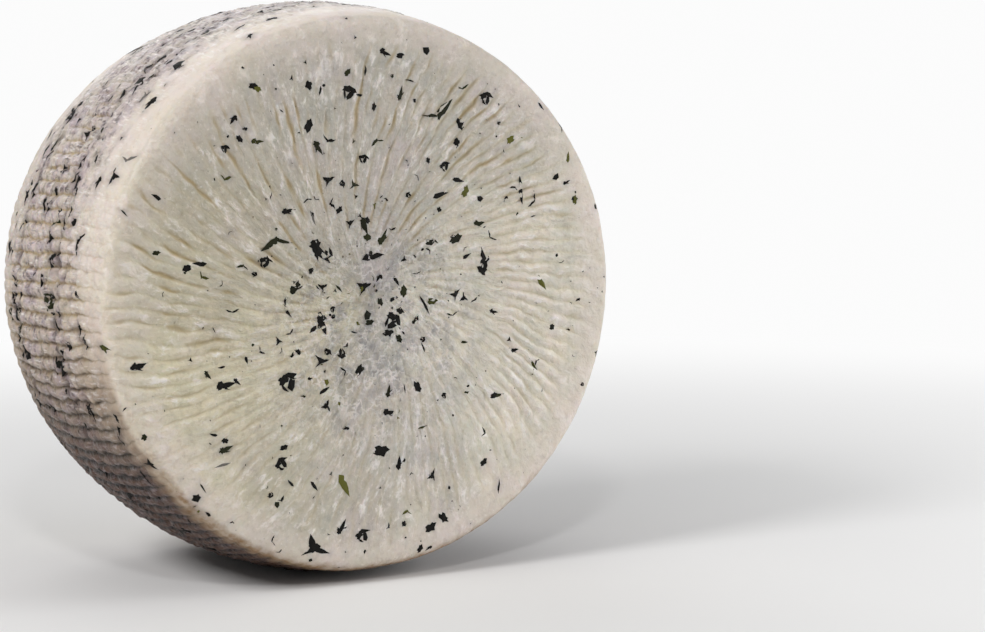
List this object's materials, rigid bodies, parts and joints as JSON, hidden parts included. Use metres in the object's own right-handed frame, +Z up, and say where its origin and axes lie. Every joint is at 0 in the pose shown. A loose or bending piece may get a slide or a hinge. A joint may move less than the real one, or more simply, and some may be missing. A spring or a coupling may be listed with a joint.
{
  "type": "cheese wheel",
  "caption": "Small wheel of soft herbed sheep's cheese standing on its rim, with wrinkled faces, rounded shoulders and a basket-ribbed rim.",
  "frame": {"origin": "on the surface the wheel stands on, at the middle of the flat patch of its rim, under the middle of the wheel", "axes": "+Z up; the wheel's axis runs along Y, with the front face towards -Y; +X to the right seen from the front"},
  "size_m": [0.202, 0.1, 0.1971],
  "materials": {
    "cheese": "moist, slightly translucent cream paste with a damp satin skin",
    "herb": "dark wet leaf"
  },
  "bodies": {
    "root": {"cheese_wheel": "cheese"}
  },
  "joints": []
}
